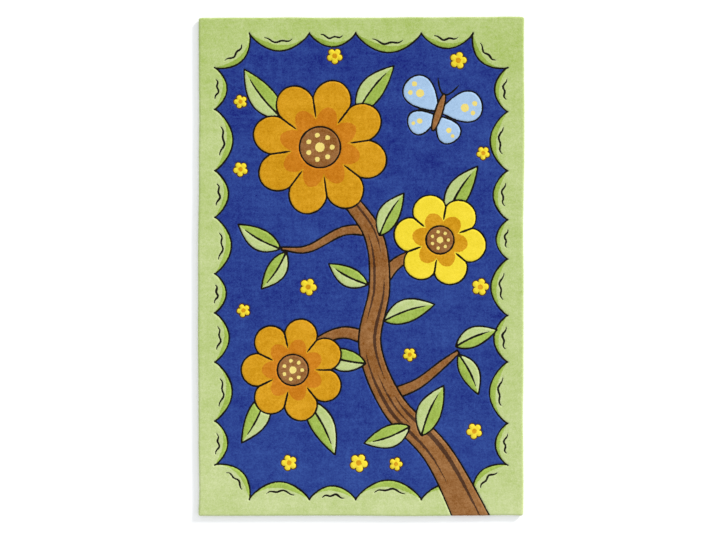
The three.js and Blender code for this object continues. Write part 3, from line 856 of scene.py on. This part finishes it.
# The field, of royal blue yarn, is the ground of the design. It is tufted round all that lies on it
# and ends at the lobes of the border, and the butterfly's feelers are strokes in it.
YARNS["royal blue acrylic pile"] = {"colour": "#21367c", "tips": "#2d478b", "contrast": 1.0}
FIELD_INSET, FIELD_CORNER = 54, 118  # from a side of the rug to its cusps, and from them to the corner
LOBE_RISE, LOBE_FULLNESS = 0.3, 0.75  # a share of a lobe's width, and the power that rounds it
SHORT_SIDE_LOBES = [1.1, 0.85, 1.2, 0.95]  # their widths, compared with one another
LONG_SIDE_LOBES = [0.9, 1.2, 1.0, 0.8, 1.15, 0.95, 1.25, 0.85]
field_x, field_y = RUG_WIDTH / 2 - FIELD_INSET, RUG_LENGTH / 2 - FIELD_INSET
field_corners = np.array([(-field_x, field_y), (field_x, field_y), (field_x, -field_y), (-field_x, -field_y)])
cusps = []
for k, widths in enumerate((SHORT_SIDE_LOBES, LONG_SIDE_LOBES, SHORT_SIDE_LOBES[::-1], LONG_SIDE_LOBES)):
    start, end = field_corners[k], field_corners[(k + 1) % 4]
    first = FIELD_CORNER / math.dist(start, end)
    shares = np.r_[0, np.cumsum(widths)] / sum(widths)
    cusps += [start + (end - start) * (first + (1 - 2 * first) * share) for share in shares]
lobes = list(zip(cusps, cusps[1:] + cusps[:1]))


def lobe(a, b, part=(0, 1), back=0.0, wave=0.0, share=(1, 1), step=TUFT):
    """The edge of one lobe of the border, from cusp a to cusp b. It may be a part of it, one set back from
    it with two waves in it, or one that rises only by a share of it, from its start to its end."""
    along = b - a
    inward = np.array([along[1], -along[0]])

    def edge_of_lobe(t):
        behind = (back + wave * np.sin(4 * math.pi * t)) / math.hypot(*along)
        t = part[0] + (part[1] - part[0]) * t
        height = share[0] + (share[1] - share[0]) * t
        rise = LOBE_RISE * np.sin(math.pi * t).clip(0) ** LOBE_FULLNESS * height
        return a[:, None] + along[:, None] * t + inward[:, None] * (rise - behind)
    return drawn(edge_of_lobe, step)


field_outline = joined(*[lobe(a, b) for a, b in lobes])
feelers = [feeler(side) for side in (1, -1)]
tuft("field", [area(field_outline, "royal blue acrylic pile", strokes=feelers)])

# The border, of light green yarn, has a crescent of leaf green along the foot of each lobe and a short
# stroke behind it. Its outermost tufts lean out over the edge of the backing.
CRESCENT = (0.48, 0.84)  # where the back of a crescent runs, as a share of its lobe, at its start and end
LOBE_STROKE = {"part": (0.25, 0.72), "back": 31, "wave": 3.2}  # the part of the lobe that it runs behind
border = [area(flat_edge, "light green acrylic pile", "plain")]
for a, b in lobes:
    stroke = lobe(a, b, **LOBE_STROKE, step=STROKE_STEP)
    if not any(inside(stroke, t["outline"]).any() for t in tufted):
        border[0]["strokes"].append(stroke)
    crescent = joined(lobe(a, b), lobe(a, b, share=CRESCENT)[::-1])
    border.append(area(crescent, "leaf green acrylic pile", "tone"))
tuft("border", border)

# The studio: a pale floor, an even white surround, and one soft lamp from the upper right, which
# throws the rug's narrow shadow to the left and below it.
FLOOR_SIZE = 80.0  # in metres, so that a view from low down still shows floor behind the rug
FLOOR_DROP = 0.2
# Seamless studio paper, quite matte, so the floor shows no shine.
PAPER = {"Base Color": linear("#eeeeee"), "Roughness": 1.0, "Specular IOR Level": 0.0}
SURROUND = {"Color": linear("#fbfdff"), "Strength": 1.05}
LAMP_STRENGTH = 3.1
LAMP_HEIGHT, LAMP_TURN, LAMP_SPREAD = (math.radians(angle) for angle in (18, 135, 10))
bpy.ops.mesh.primitive_plane_add(size=FLOOR_SIZE, location=(0, 0, -FLOOR_DROP * MM))
floor = bpy.context.object
floor.name = "floor"
paper = bpy.data.materials.new("white paper")
paper.use_nodes = True
for name, value in PAPER.items():
    paper.node_tree.nodes["Principled BSDF"].inputs[name].default_value = value
floor.data.materials.append(paper)

world = bpy.data.worlds.new("studio")
world.use_nodes = True
for name, value in SURROUND.items():
    world.node_tree.nodes["Background"].inputs[name].default_value = value
bpy.context.scene.world = world
lamp = bpy.data.objects.new("lamp", bpy.data.lights.new("lamp", "SUN"))
lamp.data.energy = LAMP_STRENGTH
lamp.data.angle = LAMP_SPREAD
lamp.rotation_euler = (math.pi / 2 - LAMP_HEIGHT, 0, LAMP_TURN)
bpy.context.collection.objects.link(lamp)
bpy.context.scene.view_settings.view_transform = "Standard"

# The camera looks straight down, as the photo was taken, from so far that perspective hardly shows.
# Its place and height bring the rug to the middle and the width that it has in the photo.
PHOTO_WIDTH, PHOTO_HEIGHT = 716, 540
RUG_PX = (361.15, 266.4)  # where the middle of the rug is in the photo
RUG_WIDTH_PX = 325.2
LENS, SENSOR = 85, 36
FAR_CLIP = 200
mm_per_px = RUG_WIDTH / RUG_WIDTH_PX
camera = bpy.data.objects.new("camera", bpy.data.cameras.new("camera"))
camera.data.lens = LENS
camera.data.sensor_width = SENSOR
camera.data.clip_end = FAR_CLIP
camera.location = (
    (PHOTO_WIDTH / 2 - RUG_PX[0]) * mm_per_px * MM,
    (RUG_PX[1] - PHOTO_HEIGHT / 2) * mm_per_px * MM,
    (PHOTO_WIDTH * mm_per_px * LENS / SENSOR + PILE_TOP) * MM,
)
bpy.context.collection.objects.link(camera)
bpy.context.scene.camera = camera
